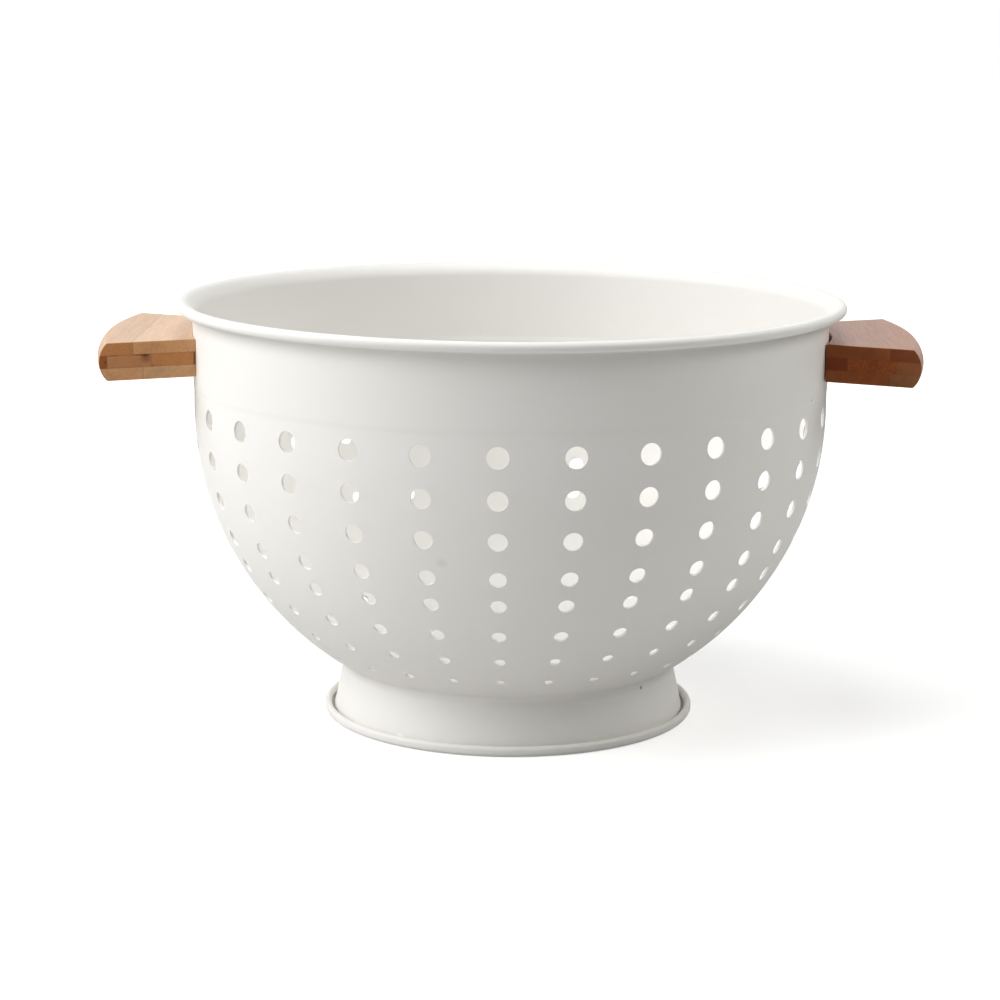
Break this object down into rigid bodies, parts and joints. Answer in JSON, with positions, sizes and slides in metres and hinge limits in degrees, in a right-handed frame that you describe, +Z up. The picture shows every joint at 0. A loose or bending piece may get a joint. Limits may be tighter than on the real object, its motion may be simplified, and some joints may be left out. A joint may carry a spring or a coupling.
{
  "type": "colander",
  "caption": "Round-bottomed sheet-steel colander with a perforated bowl, rolled rim, foot ring and laminated bamboo side handles.",
  "frame": {"origin": "centre of the foot ring on the surface that the colander stands on", "axes": "+X towards the right handle, +Y towards the back, +Z up"},
  "size_m": [0.3304, 0.27, 0.171],
  "materials": {
    "powder_coat": "satin warm-white powder coat",
    "bamboo_pale": "oiled satin",
    "bamboo_honey": "oiled satin",
    "bamboo_brown": "oiled satin",
    "zinc_steel": "bright zinc plate"
  },
  "bodies": {
    "root": {"bowl": "powder_coat", "foot_ring": "powder_coat", "right_handle_top_strip_1": "bamboo_pale", "right_handle_top_strip_2": "bamboo_honey", "right_handle_middle_strip_1": "bamboo_brown", "right_handle_middle_strip_2": "bamboo_honey", "right_handle_middle_strip_3": "bamboo_brown", "right_handle_bottom_strip_1": "bamboo_pale", "right_handle_bottom_strip_2": "bamboo_honey", "left_handle_top_strip_1": "bamboo_pale", "left_handle_top_strip_2": "bamboo_honey", "left_handle_middle_strip_1": "bamboo_brown", "left_handle_middle_strip_2": "bamboo_honey", "left_handle_middle_strip_3": "bamboo_brown", "left_handle_bottom_strip_1": "bamboo_pale", "left_handle_bottom_strip_2": "bamboo_honey", "left_front_screw": "zinc_steel", "left_front_washer": "zinc_steel", "left_back_screw": "zinc_steel", "left_back_washer": "zinc_steel", "right_front_screw": "zinc_steel", "right_front_washer": "zinc_steel", "right_back_screw": "zinc_steel", "right_back_washer": "zinc_steel"}
  },
  "joints": []
}
